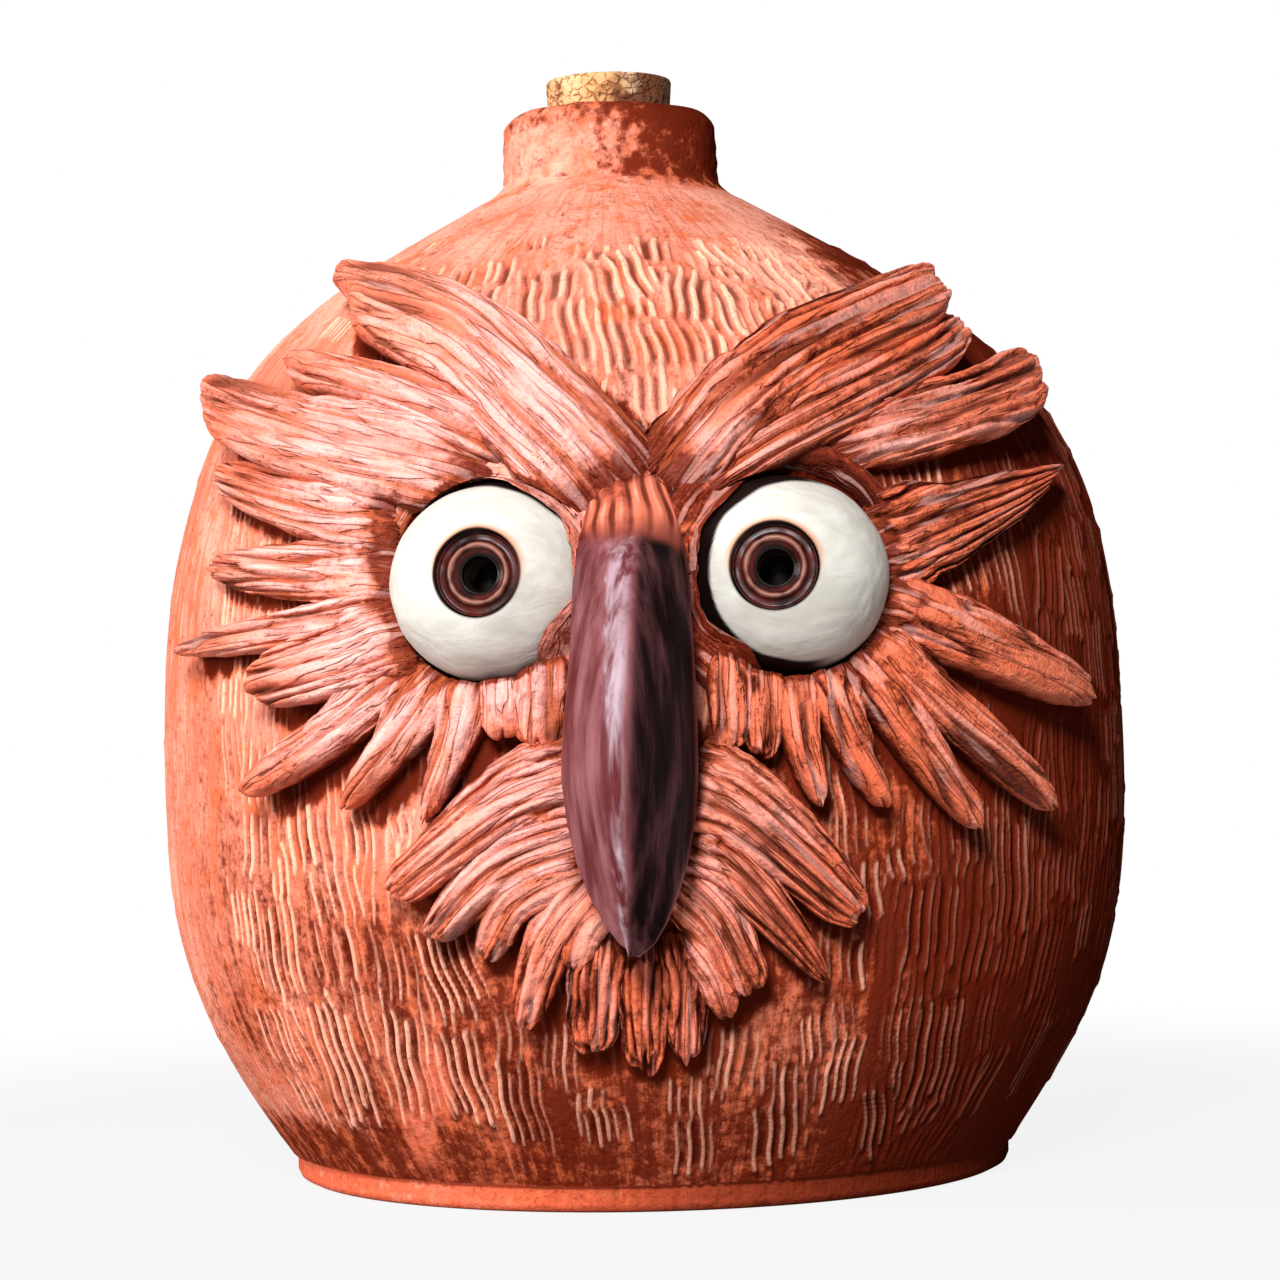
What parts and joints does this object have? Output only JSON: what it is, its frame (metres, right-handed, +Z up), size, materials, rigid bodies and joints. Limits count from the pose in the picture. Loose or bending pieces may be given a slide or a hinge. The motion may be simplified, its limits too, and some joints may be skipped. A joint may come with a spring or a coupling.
{
  "type": "owl face jug",
  "caption": "Round thrown terracotta jug with an owl's face built up from clay feathers, a glazed beak and white eyes, a short neck and a tapered cork that lifts out.",
  "frame": {"origin": "centre of the foot's underside", "axes": "+Z up along the jug's axis, -Y towards the viewer out of the owl's face, +X to the viewer's right"},
  "size_m": [0.174, 0.1969, 0.1984],
  "materials": {
    "body_clay": "matt, combed, with a brown oxide wash",
    "washed_clay": "satin, grooved, with a brown oxide wash",
    "white_slip": "satin",
    "brown_glaze": "gloss",
    "beak_glaze": "gloss",
    "cork": "raw cork"
  },
  "bodies": {
    "jug": {"jug_body": "body_clay", "beak": "beak_glaze", "left_eyeball": "white_slip", "right_eyeball": "white_slip", "left_iris": "brown_glaze", "right_iris": "brown_glaze", "left_eye_rim": "washed_clay", "right_eye_rim": "washed_clay", "left_brow_upper": "washed_clay", "left_brow_middle": "washed_clay", "left_brow_lower": "washed_clay", "right_brow_upper": "washed_clay", "right_brow_middle": "washed_clay", "right_brow_lower": "washed_clay", "left_temple_feather_1": "washed_clay", "left_temple_feather_2": "washed_clay", "left_temple_feather_3": "washed_clay", "left_cheek_feather_1": "washed_clay", "left_cheek_feather_2": "washed_clay", "left_cheek_feather_3": "washed_clay", "left_cheek_feather_4": "washed_clay", "left_undereye_feather_1": "washed_clay", "left_undereye_feather_2": "washed_clay", "right_temple_feather_1": "washed_clay", "right_cheek_feather_1": "washed_clay", "right_cheek_feather_2": "washed_clay", "right_cheek_feather_3": "washed_clay", "right_cheek_feather_4": "washed_clay", "right_cheek_feather_5": "washed_clay", "right_undereye_feather_1": "washed_clay", "right_undereye_feather_2": "washed_clay", "left_muzzle_feather_1": "washed_clay", "left_muzzle_feather_2": "washed_clay", "left_muzzle_feather_3": "washed_clay", "left_muzzle_feather_4": "washed_clay", "left_muzzle_feather_5": "washed_clay", "right_muzzle_feather_1": "washed_clay", "right_muzzle_feather_2": "washed_clay", "right_muzzle_feather_3": "washed_clay", "right_muzzle_feather_4": "washed_clay", "bib_feather_left": "washed_clay", "bib_feather_centre": "washed_clay", "bib_feather_right": "washed_clay"},
    "cork": {"cork_stopper": "cork"}
  },
  "joints": [
    {"name": "cork_pull", "type": "slide", "parent": "jug", "child": "cork", "axis": [0, 0, 1], "range_m": [0, 0.03]}
  ]
}
